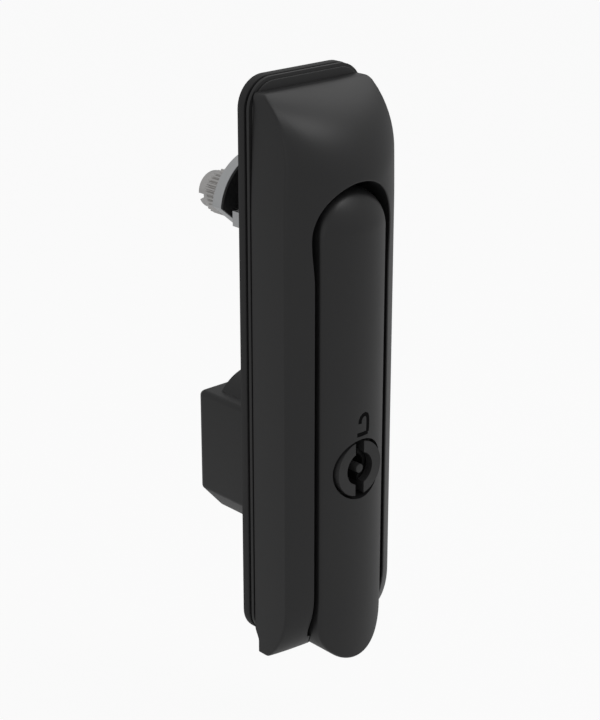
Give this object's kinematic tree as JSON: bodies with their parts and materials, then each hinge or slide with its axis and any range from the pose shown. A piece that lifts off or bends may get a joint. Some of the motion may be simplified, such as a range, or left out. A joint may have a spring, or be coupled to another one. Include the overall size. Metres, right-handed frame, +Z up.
{
  "type": "swing handle latch",
  "caption": "Flush lift and turn swing handle latch for a cabinet door, with a double bit lock insert, a rear drive shaft with a toothed ring and a rear lock box.",
  "frame": {"origin": "middle of the plate, on the gasket's back face, which lies on the door's outer face", "axes": "+Z up along the handle, +Y into the door, +X to the right seen from in front of the door"},
  "size_m": [0.05, 0.0755, 0.2048],
  "materials": {
    "gasket": "matt black sealing rubber",
    "frame_plastic": "fine textured black glass filled nylon",
    "cover_plastic": "satin black glass filled nylon",
    "handle_plastic": "satin black glass filled nylon",
    "box_plastic": "satin black glass filled nylon",
    "lock_plastic": "black acetal",
    "washer_plastic": "black acetal",
    "bush_plastic": "natural acetal",
    "shaft_metal": "turned and plated steel",
    "die_cast_zinc": "plated die cast zinc",
    "steel_pin": "ground steel",
    "zinc_screw": "zinc plated steel",
    "insert_brass": "turned brass"
  },
  "bodies": {
    "housing": {"gasket": "gasket", "base_frame": "frame_plastic", "front_cover": "cover_plastic", "cover_screws": "zinc_screw", "thread_inserts": "insert_brass", "lock_box": "box_plastic", "box_screws": "zinc_screw", "shaft_bush": "bush_plastic", "shaft_seal": "gasket", "bearing_plate": "die_cast_zinc", "bearing_screws": "zinc_screw", "drive_yoke": "die_cast_zinc", "yoke_screws": "zinc_screw", "pivot_pin": "steel_pin"},
    "handle": {"handle_grip": "handle_plastic", "handle_liner": "frame_plastic", "lock_barrel": "lock_plastic", "barrel_clip": "steel_pin"},
    "key_rotor": {"lock_rotor": "lock_plastic", "key_pin": "lock_plastic", "locking_cam": "die_cast_zinc", "cam_screw": "zinc_screw"},
    "shaft": {"drive_shaft": "shaft_metal", "thrust_washer": "washer_plastic", "stop_disc": "shaft_metal", "shaft_clip": "steel_pin"}
  },
  "joints": [
    {"name": "handle_lift", "type": "hinge", "parent": "housing", "child": "handle", "pos_m": [0, -0.018, 0.05], "axis": [-1, 0, 0], "range_deg": [0, 20]},
    {"name": "key_turn", "type": "hinge", "parent": "handle", "child": "key_rotor", "pos_m": [0, -0.02, -0.0324], "axis": [0, 1, 0], "range_deg": [0, 90]},
    {"name": "shaft_turn", "type": "hinge", "parent": "housing", "child": "shaft", "pos_m": [0, 0.02, 0.05], "axis": [0, 1, 0], "range_deg": [0, 90]}
  ]
}
